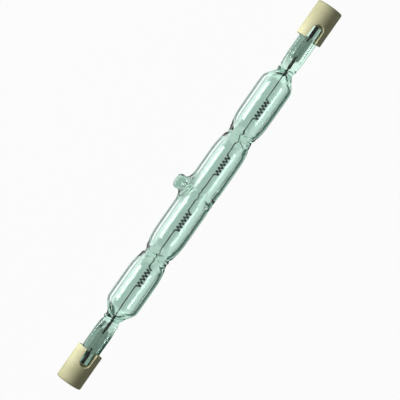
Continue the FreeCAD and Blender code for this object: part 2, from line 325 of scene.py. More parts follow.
# %% Folds and rings
def folds(x, turn, wavelength, phase):
    """Crossed waves along and round the lamp, between about minus one and one.

    They are the mean of three sines: rings of this wavelength that wander to and fro round the lamp, a
    screw of three starts with 1.7 times the wavelength, and one of five starts, the other way, with 2.6.
    """
    first = np.sin(2 * np.pi * x / wavelength + 2.2 * np.sin(2 * turn + phase) + phase)
    second = np.sin(2 * np.pi * x / (1.7 * wavelength) - 3 * turn + 1.9 * phase)
    third = np.sin(5 * turn + 2 * np.pi * x / (2.6 * wavelength) + 0.7 * phase)
    return (first + second + third) / 3


def section_ring(x, turn, sizes):
    """Rings of points (along, wide, broad) on the rounded boxes that sizes gives for each x.

    On such a box, wide over width and broad over thickness, each raised to the squareness, add up to one.
    """
    width, thickness, squareness = (size[:, None] for size in sizes)
    wide = np.abs(np.cos(turn)[None, :] / width)
    broad = np.abs(np.sin(turn)[None, :] / thickness)
    radius = (wide**squareness + broad**squareness) ** (-1 / squareness)
    return rings_at(x[:, None], radius * np.cos(turn), radius * np.sin(turn))


def swell(grid, turn, height):
    """The rings with each point moved outwards by height."""
    outward = np.stack([np.zeros_like(turn), np.cos(turn), np.sin(turn)], axis=-1)
    return grid + height[..., None] * outward[None, :]


def skin_rings(columns, stretches, last, sizes):
    """Angles and rings of a skin, from its right half's (start, stop, step) stretches and last places."""
    turn = full_turn(columns)
    half = np.concatenate([np.arange(*stretch) for stretch in stretches] + [last])
    run = np.concatenate([-half[:0:-1], half])
    return turn, section_ring(run, turn, sizes(run))


print("at the lamp's middle the folds are", round(float(folds(0.0, 0.0, 1.0, 0.0)), 2))

# %% [markdown]
# ## The exhaust tip
# The tip is where the gas was let in and the tube was melted shut. It can't be a bump on the grid,
# because its wall stands upright, and a separate stub would leave a seam in the glass. So a square patch
# of the grid is remapped: its concentric squares become circles, and each circle takes its place on the
# outline of the stub, from the middle of its end, round the edge, down the wall and out along the flare
# to the tube. Melted glass was twisted off there, so shallow flutes wind down the wall.

# %% Outline of a stub
END_SHARE, EDGE_SHARE, WALL_SHARE, FLARE_FOOT = 0.15, 0.42, 0.48, 0.8
BEND_POINTS = 12


def stub_outline(radius, height, edge, rise, reach):
    """Share of the way out over the patch, distance from the tip's axis and height above the tube.

    The outline is a flat end, a quarter circle of radius edge, a straight wall, and a quarter of an ellipse
    that flares from rise up the wall to reach out on the tube.
    """
    turn = np.linspace(0, np.pi / 2, BEND_POINTS)
    edge_shares = np.linspace(END_SHARE, EDGE_SHARE, BEND_POINTS)
    flare_shares = np.linspace(WALL_SHARE, FLARE_FOOT, BEND_POINTS)
    share = np.concatenate([[0], edge_shares, flare_shares])
    out = np.concatenate([[0], radius - edge + edge * np.sin(turn), radius + reach * (1 - np.cos(turn))])
    up = np.concatenate([[height], height - edge + edge * np.cos(turn), rise * (1 - np.sin(turn))])
    return share, out, up


tip_outline = stub_outline(radius=TIP_RADIUS, height=TIP_HEIGHT, edge=TIP_ROUND, rise=1.4, reach=2.4)
tip_bore = stub_outline(radius=0.5, height=2.4, edge=0.4, rise=0.5, reach=0.5)
print("the tip's flare reaches", round(float(tip_outline[1][-1]), 2), "mm from its axis")

# %% Stub on a grid patch
FLUTES, FLUTE_TWIST = 4, 14
TINY = 1e-9


def add_stub(grid, turn, tube_radius, patch, outline, dent=0.0):
    """The grid with the patch of half size patch round the tip's direction remapped to a stub on the tube.

    A point's square distance from the patch's middle picks the circle, its place on that square picks the
    direction, and between the flare's foot and the patch's rim the circles turn back into squares on the
    tube. The flutes take up to the share dent off the distance from the tip's axis, by a sine of the
    direction that turns on with the way out.
    """
    x = grid[..., 0]
    around = (turn[None, :] + TIP_TURN + np.pi) % (2 * np.pi) - np.pi
    p = x / patch
    q = np.broadcast_to(around * tube_radius / patch, p.shape)
    share = np.maximum(np.abs(p), np.abs(q))
    flat = np.abs(p) >= np.abs(q)
    long_side = np.where(flat, p, q)
    long_side = np.where(long_side == 0, TINY, long_side)
    swing = np.pi / 4 * np.where(flat, q, p) / long_side
    way_p = np.sign(long_side) * np.where(flat, np.cos(swing), np.sin(swing))
    way_q = np.sign(long_side) * np.where(flat, np.sin(swing), np.cos(swing))
    shares, outs, ups = outline
    back = np.clip((share - FLARE_FOOT) / (1 - FLARE_FOOT), 0, 1)
    flute = (1 + np.sin(FLUTES * np.arctan2(way_q, way_p) + FLUTE_TWIST * share)) / 2
    out = np.interp(share, shares, outs) * (1 - dent * (1 - back) * flute)
    along = (1 - back) * out * way_p + back * p * patch
    arc = (1 - back) * out * way_q + back * q * patch
    saddle = soft_step(share, EDGE_SHARE, FLARE_FOOT)
    skin = np.hypot(grid[..., 1], grid[..., 2])
    level = skin * (saddle * np.cos(arc / tube_radius) + 1 - saddle) + np.interp(share, shares, ups)
    across = (saddle * skin + (1 - saddle) * tube_radius) * np.sin(arc / tube_radius)
    tip_cos, tip_sin = math.cos(TIP_TURN), math.sin(TIP_TURN)
    wide = level * tip_cos + across * tip_sin
    broad = across * tip_cos - level * tip_sin
    moved = np.stack([along, wide, broad], axis=-1)
    return np.where((share < 1)[..., None], moved, grid)


print("the tip's wall has", FLUTES, "flutes")

# %% [markdown]
# ### The vessel's two skins
# Each skin is a stack of rings. They stand close where the glass bends and far apart where it is plain
# tube, which keeps the mesh small. Then the folds, the hollows that the press leaves in the seals with a
# low ridge between them, and the tip are laid on. The inner skin's faces are turned round, because they
# point into the cavity, away from the glass.

# %% Rings of the outer skin
OUTER_COLUMNS = 136
OUTER_STRETCHES = [(0, 5.6, 0.1), (5.6, 13.6, 0.6), (13.6, 23.6, 0.15), (23.6, 33.4, 0.7)]
OUTER_STRETCHES += [(33.4, 44.0, 0.15), (44.0, SEAL_END - 0.3, 0.4)]
LAST_RINGS = [SEAL_END - 0.12, SEAL_END]
turn, outside = skin_rings(OUTER_COLUMNS, OUTER_STRETCHES, LAST_RINGS, vessel_outside)
print("outer skin", outside.shape)

# %% Folds of the outer skin
OUTER_WAVE, OUTER_PHASE = 1.2, 0.4
PINCH_FOLD, PINCH_FOLD_REACH = 0.26, 1.8
NECK_FOLD, NECK_FOLD_REACH, NECK_FOLD_PAST = 0.28, 1.5, 1.7
TIP_FOLD, TIP_FOLD_REACH = 0.13, 2.4
along = outside[..., 0]
reach = np.abs(along)
near_pinch = sum(hump(along - middle, PINCH_FOLD_REACH) for middle in PINCHES)
near_neck = hump(reach - NECK - NECK_FOLD_PAST, NECK_FOLD_REACH)
near_tip = hump(along, TIP_FOLD_REACH)
wavy = folds(along, turn[None, :], OUTER_WAVE, OUTER_PHASE)
sunk = TIP_FOLD * near_tip * (wavy - 1)
outside = swell(outside, turn, (PINCH_FOLD * near_pinch + NECK_FOLD * near_neck) * wavy + sunk)
print("waves between", round(float(wavy.min()), 2), "and", round(float(wavy.max()), 2))

# %% Hollows of the seals and the tip
RIDGE_HALF, HOLLOW_RAMP, HOLLOW_DEPTH, HOLLOW_MOST = 0.15, 1.2, 0.35, 0.62
SEAL_RIM = (1.4, 1.7)
HOLLOW_STARTS = (NECK + 3.8, NECK + 5.2)
TIP_PATCH, FLUTE_DEPTH = 5.4, 0.08
END_SHRINK = 0.94
off_middle = np.abs(outside[..., 1])
flank = np.clip((off_middle - RIDGE_HALF) / HOLLOW_RAMP, 0, 1) * (1 - soft_step(off_middle, *SEAL_RIM))
hollow = HOLLOW_DEPTH * flank * soft_step(reach, *HOLLOW_STARTS)
broad = outside[..., 2]
outside[..., 2] = broad - np.sign(broad) * np.minimum(hollow, HOLLOW_MOST * np.abs(broad))
outside = add_stub(outside, turn, TUBE_RADIUS, TIP_PATCH, tip_outline, FLUTE_DEPTH)
outside[[0, -1], :, 1:] *= END_SHRINK
print("hollows up to", round(float(hollow.max()), 2), "mm deep")

# %% Inner skin
INNER_COLUMNS = 84
INNER_STRETCHES = [(0, 1.8, 0.08), (1.8, 13.6, 0.5), (13.6, 23.6, 0.15), (23.6, 33.0, 0.7)]
INNER_STRETCHES += [(33.0, BALL_START, 0.14)]
BALL_ROWS, POLE_GAP = 14, 0.04
BORE_PATCH = 1.6
ball_run = BALL_CENTRE + BALL_RADIUS * np.sin(np.linspace(CAVITY_SLOPE, np.pi / 2 - POLE_GAP, BALL_ROWS))
inner_turn, inside = skin_rings(INNER_COLUMNS, INNER_STRETCHES, ball_run, vessel_inside)
print("inner skin", inside.shape)

# %% Folds of the inner skin
INNER_WAVE, INNER_PHASE = 1.7, 1.1
INNER_TIP_FOLD, INNER_PINCH_FOLD = 0.22, 0.26
INNER_FOLD_REACH, THROAT_REACH = 2.4, 1.0
along = inside[..., 0]
near_tip = hump(along, INNER_FOLD_REACH)
off_pinches = [along - middle for middle in PINCHES]
near_pinch = sum(hump(off, INNER_FOLD_REACH) - hump(off, THROAT_REACH) for off in off_pinches)
wavy = folds(along, inner_turn[None, :], INNER_WAVE, INNER_PHASE)
inside = swell(inside, inner_turn, (INNER_TIP_FOLD * near_tip + INNER_PINCH_FOLD * near_pinch) * wavy)
inside = add_stub(inside, inner_turn, BORE_RADIUS, BORE_PATCH, tip_bore)
print("the tip's bore ends", round(float(np.hypot(inside[..., 1], inside[..., 2]).max()), 2), "mm out")

# %% Vessel
inner_points, inner_faces = closed_tube(inside)
vessel = new_piece(
    "quartz_vessel",
    [closed_tube(outside), (inner_points, [corners[:, ::-1] for corners in inner_faces])],
    SEAL_BASIS,
    "quartz_envelope",
)

# %% [markdown]
# ## The filament
# One wire runs from lead to lead. Its straight legs lie on the lamp axis and its four coils hang from
# them, each turn touching the axis and swinging away from the tip. The coil's wire is itself a finer
# coil. A texture could hint at that, but the coils are seen against white, where the outline tells. So a
# thin wire is wound round the path of the thick one: the same helix, one size down.

# %% Coil path
COIL_TURNS = 6
COIL_LENGTH = 6.8
COIL_LEAD = 0.4
COIL_RADIUS = 0.52
COIL_RUN_IN = 0.45


def coil_path(turns):
    """Points of one coil round x = 0, and the direction from the coil's middle line, after so many turns.

    The point goes round a circle that touches the axis. Its radius opens from nought over the first part
    of a turn and closes at the end, and there the wire also runs on along the axis.
    """
    share = np.minimum(np.minimum(turns, COIL_TURNS - turns) / COIL_RUN_IN, 1)
    radius = COIL_RADIUS * share * share * (3 - 2 * share)
    angle = 2 * np.pi * turns
    stretch = np.copysign(COIL_LEAD * (1 - share) ** 2, turns - COIL_TURNS / 2)
    x = (COIL_LENGTH - 2 * COIL_LEAD) * (turns / COIL_TURNS - 0.5) + stretch
    points = np.stack([x, radius * (1 - np.cos(angle)), radius * np.sin(angle)], axis=-1)
    outward = np.stack([np.zeros_like(angle), -np.cos(angle), np.sin(angle)], axis=-1)
    return points, outward


print("one coil has", COIL_TURNS, "turns over", COIL_LENGTH, "mm")

# %% Fine coil wound along the coil
COIL_WIRE = 0.24
FINE_WIRE = 0.075
FINE_RADIUS = COIL_WIRE - FINE_WIRE
FINE_PITCH = 0.165
FINE_STEPS, FINE_SIDES = 8, 5
TRIAL_POINTS = 4000


def frame_along(points, hint):
    """Two unit directions square to the path: the hint less its part along it, and the third one."""
    heading = np.gradient(points, axis=0)
    heading /= np.linalg.norm(heading, axis=1, keepdims=True)
    side = hint - heading * (hint * heading).sum(axis=1, keepdims=True)
    side /= np.linalg.norm(side, axis=1, keepdims=True)
    return side, np.cross(heading, side)


def wire(points, hint, radius, sides):
    """A round wire: a circle of this radius carried along the path."""
    side, other = frame_along(points, hint)
    angle = full_turn(sides)[None, :, None]
    return points[:, None] + radius * (side[:, None] * np.cos(angle) + other[:, None] * np.sin(angle))


turns = np.linspace(0, COIL_TURNS, TRIAL_POINTS)
thick_points, thick_out = coil_path(turns)
length = np.concatenate([[0], np.cumsum(np.linalg.norm(np.diff(thick_points, axis=0), axis=1))])
fine_count = round(length[-1] / FINE_PITCH)
fine_turns = np.interp(np.linspace(0, length[-1], fine_count * FINE_STEPS + 1), length, turns)
thick_points, thick_out = coil_path(fine_turns)
side, other = frame_along(thick_points, thick_out)
spin = (2 * np.pi * np.arange(len(fine_turns)) / FINE_STEPS)[:, None]
spoke = side * np.cos(spin) + other * np.sin(spin)
fine_coil = wire(thick_points + FINE_RADIUS * spoke, spoke, FINE_WIRE, FINE_SIDES)
print("one coil is", round(float(length[-1]), 1), "mm of wire with", fine_count, "fine turns")

# %% Filament
COIL_COUNT, COIL_SPACING, COIL_MIDDLE = 4, 17.5, 0.77
LEG_RADIUS = 0.14
LEG_ROWS, LEG_SIDES = 24, 10
LEG_IN_COIL = 0.3
LEG_GAP = 0.2
TIP_BASIS = np.stack([lamp_axis, -tip_way, np.cross(lamp_axis, -tip_way)])
coil_centres = [(k - (COIL_COUNT - 1) / 2) * COIL_SPACING + COIL_MIDDLE for k in range(COIL_COUNT)]
leg_end = CAVITY_END - LEG_GAP
coil_ends = [middle + side * (COIL_LENGTH / 2 - LEG_IN_COIL) for middle in coil_centres for side in (-1, 1)]
stops = [-leg_end, *coil_ends, leg_end]
leg_hint = np.tile([0.0, 1.0, 0.0], (LEG_ROWS, 1))
wires = [
    closed_tube(wire(np.linspace([start, 0, 0], [stop, 0, 0], LEG_ROWS), leg_hint, LEG_RADIUS, LEG_SIDES))
    for start, stop in zip(stops[0::2], stops[1::2])
]
wires += [closed_tube(fine_coil + np.array([middle, 0, 0])) for middle in coil_centres]
filament = new_piece("filament_wire", wires, TIP_BASIS, "filament")

# %% [markdown]
# ## Foils and leads
# The current leaves the vessel through a strip of molybdenum thinner than paper, because only a foil can
# follow the quartz as it heats. Its long edges are etched to a feather, so its section is a flat lens,
# and it is never quite flat: the press leaves slow waves in it. A stout wire is welded on at each end,
# half of it flattened on the foil. A flat box and a plain rod would do for the current, but through the
# glass their hard edges show.

# %% Foil
FOIL_HALF_WIDTH = 1.0
FOIL_HALF_THICKNESS = 0.03
FOIL_ROWS, FOIL_COLUMNS = 60, 40
FOIL_TAPER, FOIL_END_SHARE = 0.4, 0.82
LONG_WAVE, LONG_RATE = 0.02, 2.1
SLANT_WAVE, SLANT_RATE, SLANT_ACROSS = 0.015, 1.3, 2


def foil_grid(low, high):
    """A lens-shaped ring across the foil, carried from low to high, on two slow sines."""
    x = np.linspace(low, high, FOIL_ROWS)[:, None]
    angle = full_turn(FOIL_COLUMNS)[None, :]
    shrink = np.minimum(1, np.minimum(x - low, high - x) / FOIL_TAPER + FOIL_END_SHARE)
    across = FOIL_HALF_WIDTH * shrink * np.cos(angle)
    wave = LONG_WAVE * np.sin(LONG_RATE * x) + SLANT_WAVE * np.sin(SLANT_RATE * x + SLANT_ACROSS * across)
    raised = FOIL_HALF_THICKNESS * (np.sin(angle) - 1) + wave
    return rings_at(x, across, raised)


FOIL_START, FOIL_STOP = (corner.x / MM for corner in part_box("foil_right"))
foils = at_both_ends("foil_strip", closed_tube(foil_grid(FOIL_START, FOIL_STOP)), "foil")

# %% Leads
WELD_LENGTH = 1.2
INNER_LEAD_RADIUS, OUTER_LEAD_RADIUS = 0.4, 0.35
LEAD_ROWS, LEAD_COLUMNS = 90, 28
LEAD_EDGE, LEAD_END_SHARE = 0.1, 0.3
WELD_RAMP, WELD_THINNER, WELD_NARROWER = 0.15, 0.4, 0.5


def lead_grid(low, high, radius, weld_low, weld_high):
    """A round wire from low to high with rounded ends, flattened to its upper half along the weld."""
    x = np.linspace(low, high, LEAD_ROWS)
    from_end = np.clip(np.minimum(x - low, high - x) / LEAD_EDGE + LEAD_END_SHARE, 0, 1)
    shrink = np.sqrt(1 - (1 - from_end) ** 2)
    angle = full_turn(LEAD_COLUMNS)
    across = radius * shrink[:, None] * np.cos(angle)
    raised = radius * shrink[:, None] * np.sin(angle)
    weld_on = soft_step(x, weld_low - WELD_RAMP, weld_low)
    weld_off = soft_step(x, weld_high, weld_high + WELD_RAMP)
    flat = (weld_on * (1 - weld_off))[:, None]
    raised = np.where(raised < 0, raised * (1 - flat), raised * (1 - WELD_THINNER * flat))
    across = across * (1 - WELD_NARROWER * flat)
    return rings_at(x[:, None], across, raised)


lead_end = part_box("outer_lead_right")[1].x / MM
inner_lead = lead_grid(
    leg_end, FOIL_START + WELD_LENGTH, INNER_LEAD_RADIUS, FOIL_START, FOIL_START + 2 * WELD_LENGTH
)
outer_lead = lead_grid(
    FOIL_STOP - WELD_LENGTH, lead_end, OUTER_LEAD_RADIUS, FOIL_STOP - 2 * WELD_LENGTH, FOIL_STOP
)
leads = at_both_ends("inner_wire", closed_tube(inner_lead), "inner_lead")
leads += at_both_ends("outer_wire", closed_tube(outer_lead), "outer_lead")

# %% [markdown]
# ## Ceramic caps
# A cap is pressed from powder and fired: a thick round cup with a square-cornered pocket for the seal, a
# U-shaped window through both broad sides of its mouth, and a recess for the contact. It could be cut out
# with booleans, which leave ragged faces at the edges. It has a hole right through it, so its section is
# a closed loop, and here that loop is carried once round. In a window the loop starts later along the
# lamp, and so the edge of the window is a line of the grid, and needs no cutting.

# %% Cap sizes
CAP_RADIUS = 3.6
CAP_RIM = 0.35
MOUTH_ROUND = 0.08
SOCKET_WIDE, SOCKET_BROAD = 2.65, 1.5
SOCKET_FLOOR = SEAL_END + 0.8
WINDOW_HALF, WINDOW_LENGTH = 1.6, 4.5
WINDOW_CENTRE = CAP_MOUTH + WINDOW_LENGTH - WINDOW_HALF
WINDOW_BEVEL = 0.04
RECESS_RADIUS, RECESS_EDGE, RECESS_DEPTH = 2.0, 0.12, 1.7
CONTACT_FACE = CAP_END - RECESS_DEPTH
BUTTON_RADIUS, BUTTON_THICKNESS = 1.7, 0.6
STEM_RADIUS, STEM_CLEARANCE = 0.6, 0.05
print("a cap is", round(CAP_END - CAP_MOUTH, 2), "mm long")

# %% A quarter of the columns round the cap
WINDOW_COLUMNS, BROAD_COLUMNS, WIDE_COLUMNS = 12, 9, 11
wall_columns = BROAD_COLUMNS + WIDE_COLUMNS
in_window = np.linspace(0, WINDOW_HALF - WINDOW_BEVEL, WINDOW_COLUMNS)
beside = WINDOW_HALF + WINDOW_BEVEL
outer_angle = np.concatenate([
    np.arcsin(in_window / CAP_RADIUS),
    np.linspace(math.asin(beside / CAP_RADIUS), np.pi / 2, wall_columns),
])
quarter_outer = np.stack([np.sin(outer_angle), np.cos(outer_angle)], axis=-1)
broad_wall = np.linspace(beside, SOCKET_WIDE, BROAD_COLUMNS)
wide_wall = np.linspace(SOCKET_BROAD, 0, WIDE_COLUMNS + 1)[1:]
flat_wall = np.full(WINDOW_COLUMNS + BROAD_COLUMNS, SOCKET_BROAD)
quarter_socket = np.stack([
    np.concatenate([in_window, broad_wall, np.full_like(wide_wall, SOCKET_WIDE)]),
    np.concatenate([flat_wall, wide_wall]),
], axis=-1)
quarter_edge = np.concatenate([
    WINDOW_CENTRE + np.sqrt(WINDOW_HALF**2 - in_window**2),
    np.full(wall_columns, CAP_MOUTH),
])
print("a quarter has", len(quarter_edge), "columns")


# %% Columns round the cap
def all_round(quarter):
    """A full turn from a quarter that runs from the broad side to the wide side, mirrored about both."""
    half = np.concatenate([quarter[::-1], quarter[1:] * [-1, 1]])
    return np.concatenate([half[:-1], half[:0:-1] * [1, -1]])


unit_ring = all_round(quarter_outer)
socket_ring = all_round(quarter_socket)
# The mouth's edge is a distance along the lamp, so its sign is dropped.
mouth = np.abs(all_round(np.stack([quarter_edge, quarter_edge], axis=-1)))[:, 0]
print("columns", len(unit_ring), len(socket_ring), len(mouth))


# %% Rows along the cap
def ring_row(x, section):
    """One row of the cap: the section's points (wide, broad) at x, which may differ by column."""
    return np.concatenate([np.broadcast_to(x, mouth.shape)[:, None], section], axis=-1)


def wall_row(x, share):
    """A row whose section lies this share of the way from the socket to the outside."""
    return ring_row(x, (1 - share) * socket_ring + share * CAP_RADIUS * unit_ring)


def round_row(x, radius):
    """A row that is a circle of this radius."""
    return ring_row(x, radius * unit_ring)


print("one row is", round_row(CAP_END, CAP_RADIUS).shape)

# %% Outside of the cap
BEND_ROWS, WINDOW_ROWS, WALL_ROWS = 5, 9, 6
WALL_PAST_FLOOR = 0.3
bend = np.linspace(0, np.pi / 2, BEND_ROWS)
start_x = mouth + MOUTH_ROUND
wall_x = SOCKET_FLOOR + WALL_PAST_FLOOR
rows = [wall_row(mouth + MOUTH_ROUND * (1 - np.cos(a)), 1 - MOUTH_ROUND * (1 - np.sin(a))) for a in bend]
window_shares = np.linspace(0, 1, WINDOW_ROWS)[1:]
rows += [round_row(start_x + k * (wall_x - start_x), CAP_RADIUS) for k in window_shares]
rows += [round_row(x, CAP_RADIUS) for x in np.linspace(wall_x, CAP_END - CAP_RIM, WALL_ROWS)[1:]]
rows += [
    round_row(CAP_END - CAP_RIM * (1 - math.sin(a)), CAP_RADIUS - CAP_RIM * (1 - math.cos(a)))
    for a in bend[1:]
]
print("outside of the cap:", len(rows), "rows")

# %% Inside of the cap
SOCKET_ROWS = 6
CAP_CREASE = 40.0
hole = STEM_RADIUS + STEM_CLEARANCE
seat_x = CONTACT_FACE - BUTTON_THICKNESS
inner_profile = [
    (CONTACT_FACE, RECESS_RADIUS),
    (CONTACT_FACE, BUTTON_RADIUS),
    (seat_x, BUTTON_RADIUS),
    (seat_x, hole),
    (SOCKET_FLOOR, hole),
]
rows += [
    round_row(CAP_END - RECESS_EDGE * (1 - math.cos(a)), RECESS_RADIUS + RECESS_EDGE * (1 - math.sin(a)))
    for a in bend
]
rows += [round_row(x, radius) for x, radius in inner_profile]
socket_shares = np.linspace(0, 1, SOCKET_ROWS)
rows += [ring_row(SOCKET_FLOOR + k * (start_x - SOCKET_FLOOR), socket_ring) for k in socket_shares]
rows += [wall_row(mouth + MOUTH_ROUND * (1 - np.sin(a)), MOUTH_ROUND * (1 - np.cos(a))) for a in bend[1:]]
caps = at_both_ends("cap", closed_loop(np.stack(rows)), "ceramic_cap", CAP_CREASE)

# %% [markdown]
# ## Contact buttons
# The contact is a plated button with a stem, turned from rod, and its face is slightly domed by wear.
# Blender's Spin would make it, and so does the simplest grid of all: one outline, carried round.

# %% Outline of a contact
STEM_LENGTH = 1.6
STEM_POINT = [(0.0, 0.4), (0.08, STEM_RADIUS - 0.05), (0.2, STEM_RADIUS)]
BUTTON_DOME = 0.08
FACE_EDGE, FACE_EDGE_POWER, SIDE_STOP = 0.12, 12, 0.25
FACE_SHARES = np.linspace(1, 0.06, 14)
stem_end = seat_x - STEM_LENGTH
side_stop = CONTACT_FACE - SIDE_STOP
stem = np.array([(stem_end + x, radius) for x, radius in STEM_POINT])
button = np.array([(seat_x, STEM_RADIUS), (seat_x, BUTTON_RADIUS), (side_stop, BUTTON_RADIUS)])
face_x = CONTACT_FACE - BUTTON_DOME * FACE_SHARES**2 - FACE_EDGE * FACE_SHARES**FACE_EDGE_POWER
face = np.stack([face_x, BUTTON_RADIUS * FACE_SHARES], axis=-1)
contact_outline = np.concatenate([stem, button, face])
print("contact outline", contact_outline.shape)

# %% Contacts
CONTACT_COLUMNS = 64
CONTACT_CREASE = 35.0
contact_turn = full_turn(CONTACT_COLUMNS)
contact_x, contact_radius = contact_outline[:, :1], contact_outline[:, 1:]
contact_grid = rings_at(
    contact_x, contact_radius * np.cos(contact_turn), contact_radius * np.sin(contact_turn)
)
contacts = at_both_ends("contact", closed_tube(contact_grid), "contact_button", CONTACT_CREASE)

# %% [markdown]
# ## Finishes
# Every finish is made of nodes on Object coordinates, so that it stays on the piece from any side. A
# picture could be wrapped round each piece, but would need a map of its skin. A few helpers make the
# nodes and links, and each finish then reads as a short list of what the surface does.


# %% Node helpers
def finish_tree(name):
    """A new material, its node tree and its Principled shader."""
    finish = bpy.data.materials.new(name)
    finish.use_nodes = True
    return finish, finish.node_tree, finish.node_tree.nodes["Principled BSDF"]


def set_inputs(tree, node, inputs):
    """Sets each of the node's inputs to a value, or links it where the value is another node's output."""
    for name, value in inputs.items():
        if isinstance(value, bpy.types.NodeSocket):
            tree.links.new(value, node.inputs[name])
        else:
            node.inputs[name].default_value = value


def add_node(tree, kind, inputs=None, **settings):
    """A new node of this kind with its settings and inputs."""
    node = tree.nodes.new(kind)
    for name, value in settings.items():
        setattr(node, name, value)
    set_inputs(tree, node, inputs or {})
    return node


def coat_piece(pieces, finish):
    """Gives each piece this one finish."""
    for piece in pieces:
        piece.data.materials.clear()
        piece.data.materials.append(finish)
    print(finish.name, "on", [piece.name for piece in pieces])


print("finishes before ours:", len(bpy.data.materials))

# %% Pattern helpers
EVEN = (1.0, 1.0, 1.0)
DETAIL = 4.0


def object_noise(tree, stretch, scale, detail=DETAIL):
    """Noise on Object coordinates, with the coordinates stretched along each axis first."""
    place = add_node(tree, "ShaderNodeTexCoord")
    mapping = add_node(tree, "ShaderNodeMapping", {"Vector": place.outputs["Object"], "Scale": stretch})
    inputs = {"Vector": mapping.outputs["Vector"], "Scale": scale, "Detail": detail}
    return add_node(tree, "ShaderNodeTexNoise", inputs).outputs["Fac"]


def colour_ramp(tree, value, stops):
    """A ramp from value to colour, with stops of (place, red, green, blue)."""
    ramp = add_node(tree, "ShaderNodeValToRGB", {"Fac": value})
    while len(ramp.color_ramp.elements) < len(stops):
        ramp.color_ramp.elements.new(0.5)
    for element, (place, *colour) in zip(ramp.color_ramp.elements, stops):
        element.position = place
        element.color = (*colour, 1.0)
    return ramp.outputs["Color"]


def to_range(tree, value, low, high):
    """The value from nought to one, moved to the range low to high."""
    inputs = {"Value": value, "To Min": low, "To Max": high}
    return add_node(tree, "ShaderNodeMapRange", inputs).outputs["Result"]


def bump(tree, height, strength, distance):
    """A bump of this strength, over this distance in metres, from a height between nought and one."""
    inputs = {"Height": height, "Strength": strength, "Distance": distance}
    return add_node(tree, "ShaderNodeBump", inputs).outputs["Normal"]


def grained_finish(name, stretch, scale, colours, roughness, metallic=0.0, relief=None, detail=DETAIL):
    """A finish on one noise, which sets its colour, its roughness and, with a relief, its bumps."""
    finish, tree, shader = finish_tree(name)
    grain = object_noise(tree, stretch, scale, detail)
    inputs = {
        "Base Color": colour_ramp(tree, grain, colours),
        "Metallic": metallic,
        "Roughness": to_range(tree, grain, *roughness),
    }
    if relief:
        inputs["Normal"] = bump(tree, grain, *relief)
    set_inputs(tree, shader, inputs)
    return finish


print("an even pattern is stretched by", EVEN)

# %% [markdown]
# ### Quartz
# The glass is clear with a green cast, which is strongest where the light's path in it is long: at the
# edges of the tube and in the solid glass of the pinches. A tint on the skin alone is the same
# everywhere, so only half of the cast is there, and the other half is absorption in the body of the
# glass. Faint draw lines run along the tube.

# %% Quartz finish
quartz, tree, shader = finish_tree("clear_quartz")
draw_lines = object_noise(tree, (0.08, 1.0, 1.0), 900.0)
ripples = object_noise(tree, EVEN, 420.0)
surface = add_node(tree, "ShaderNodeMath", {0: draw_lines, 1: ripples}, operation="ADD").outputs[0]
set_inputs(tree, shader, {
    "Base Color": (0.91, 0.975, 0.95, 1.0),
    "Roughness": to_range(tree, ripples, 0.0, 0.05),
    "IOR": 1.46,
    "Transmission Weight": 1.0,
    "Normal": bump(tree, surface, 0.12, 0.0002),
})
absorb = add_node(tree, "ShaderNodeVolumeAbsorption", {"Color": (0.14, 0.8, 0.57, 1.0), "Density": 70.0})
tree.links.new(absorb.outputs["Volume"], tree.nodes["Material Output"].inputs["Volume"])
coat_piece([vessel], quartz)

# %% [markdown]
# ### Wires, foils and contacts
# Tungsten that has glowed is dark grey with a dull sheen. The leads are oxidised nearly black, the foil
# is a rolled grey metal with fine lines along it, and the contacts are bright plating with rub marks. One
# noise for each, stretched along the lamp where the metal was drawn or rolled, is enough at this size.

# %% Metal finishes
TUNGSTEN = [(0.3, 0.010, 0.026, 0.020), (0.7, 0.030, 0.058, 0.047)]
OXIDE = [(0.3, 0.02, 0.024, 0.021), (0.75, 0.075, 0.08, 0.07)]
MOLYBDENUM = [(0.3, 0.31, 0.44, 0.37), (0.7, 0.54, 0.68, 0.60)]
PLATING = [(0.3, 0.46, 0.45, 0.42), (0.7, 0.66, 0.65, 0.61)]
# Pieces, name, stretch and scale of the noise, colours, roughness, metallic share, relief.
METALS = [
    ([filament], "dark_tungsten", EVEN, 3000.0, TUNGSTEN, (0.4, 0.65), 0.5, None),
    (leads, "oxidised_lead", (0.3, 1.0, 1.0), 2500.0, OXIDE, (0.4, 0.7), 0.7, (0.3, 0.0001)),
    (foils, "rolled_molybdenum", (0.05, 1.0, 1.0), 2200.0, MOLYBDENUM, (0.35, 0.55), 0.8, (0.2, 0.0001)),
    (contacts, "plated_contact", (0.2, 1.0, 1.0), 1800.0, PLATING, (0.18, 0.42), 1.0, None),
]
for pieces, *metal in METALS:
    coat_piece(pieces, grained_finish(*metal))

# %% [markdown]
# ### Ceramic and cement
# The caps are pressed steatite: cream, dull, a little blotchy, with a fine grain like unglazed china. So
# the colour follows a coarse noise, and the roughness and the bumps a fine one. The cement is greyer and
# gritty, and one noise does for it.

# %% Ceramic finishes
ceramic, tree, shader = finish_tree("cream_steatite")
blotches = object_noise(tree, EVEN, 350.0)
grit = object_noise(tree, EVEN, 4500.0, 2.0)
set_inputs(tree, shader, {
    "Base Color": colour_ramp(tree, blotches, [(0.3, 0.67, 0.65, 0.37), (0.7, 0.75, 0.735, 0.46)]),
    "Roughness": to_range(tree, grit, 0.55, 0.8),
    "Normal": bump(tree, grit, 0.25, 0.00008),
})
coat_piece(caps, ceramic)

CEMENT = [(0.3, 0.45, 0.42, 0.33), (0.7, 0.70, 0.67, 0.56)]
cement = grained_finish("gritty_cement", EVEN, 2600.0, CEMENT, (0.8, 1.0), relief=(0.6, 0.0002), detail=6.0)
coat_piece([nodes[f"cement_{end}"] for end in ("left", "right")], cement)
